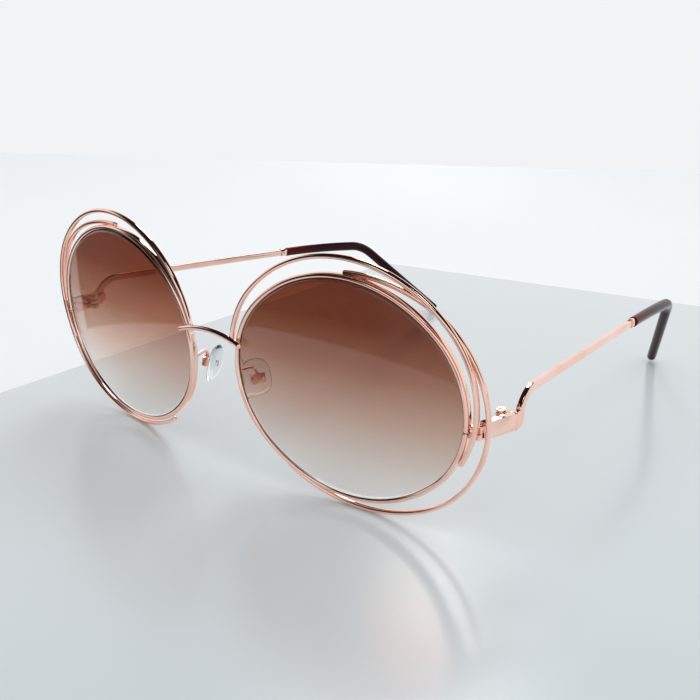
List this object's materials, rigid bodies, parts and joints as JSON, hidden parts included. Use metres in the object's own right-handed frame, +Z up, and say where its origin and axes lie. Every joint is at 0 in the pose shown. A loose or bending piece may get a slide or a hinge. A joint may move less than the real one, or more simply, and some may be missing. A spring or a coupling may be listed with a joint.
{
  "type": "sunglasses",
  "caption": "Oversized round sunglasses in polished rose-gold wire, with double halo rims, gradient brown lenses and folding temples.",
  "frame": {"origin": "middle of the footprint, on the table that the lower halo wires and the temple tips stand on", "axes": "+X to the wearer's left, +Y back along the open temples, +Z up; the lenses face -Y"},
  "size_m": [0.1418, 0.1619, 0.0584],
  "materials": {
    "rose_gold": "polished rose-gold plating",
    "lens_tint": "brown gradient tint, darker at the top",
    "clear_pad": "clear soft silicone",
    "tip_brown": "polished dark aubergine brown"
  },
  "bodies": {
    "front": {"rim_left": "rose_gold", "rim_right": "rose_gold", "lens_left": "lens_tint", "lens_right": "lens_tint", "upper_halo_left": "rose_gold", "upper_halo_right": "rose_gold", "lower_halo_left": "rose_gold", "lower_halo_right": "rose_gold", "bridge": "rose_gold", "pad_arm_left": "rose_gold", "pad_arm_right": "rose_gold", "pad_box_left": "rose_gold", "pad_box_right": "rose_gold", "pad_screw_left": "rose_gold", "pad_screw_right": "rose_gold", "endpiece_left": "rose_gold", "endpiece_right": "rose_gold", "closing_block_left": "rose_gold", "closing_block_right": "rose_gold", "rim_screw_left": "rose_gold", "rim_screw_right": "rose_gold", "hinge_front_left": "rose_gold", "hinge_front_right": "rose_gold", "hinge_screw_left": "rose_gold", "hinge_screw_right": "rose_gold"},
    "temple_arm_left": {"temple_left": "rose_gold", "collar_left": "rose_gold", "temple_tip_left": "tip_brown", "hinge_leaf_left": "rose_gold"},
    "temple_arm_right": {"temple_right": "rose_gold", "collar_right": "rose_gold", "temple_tip_right": "tip_brown", "hinge_leaf_right": "rose_gold"},
    "pad_left": {"nose_pad_left": "clear_pad"},
    "pad_right": {"nose_pad_right": "clear_pad"}
  },
  "joints": [
    {"name": "temple_fold_left", "type": "hinge", "parent": "front", "child": "temple_arm_left", "pos_m": [0.0677, -0.0625, 0.02644], "axis": [0, -0.0937, 0.9956], "range_deg": [0, 84]},
    {"name": "temple_fold_right", "type": "hinge", "parent": "front", "child": "temple_arm_right", "pos_m": [-0.0677, -0.0625, 0.02644], "axis": [0, 0.0937, -0.9956], "range_deg": [0, 80]},
    {"name": "pad_rock_left", "type": "hinge", "parent": "front", "child": "pad_left", "pos_m": [0.00891, -0.07241, 0.02396], "axis": [-0.3746, -0.9231, -0.0868], "range_deg": [-6, 6]},
    {"name": "pad_rock_right", "type": "hinge", "parent": "front", "child": "pad_right", "pos_m": [-0.00891, -0.07241, 0.02396], "axis": [0.3746, -0.9231, -0.0868], "range_deg": [-6, 6]}
  ]
}
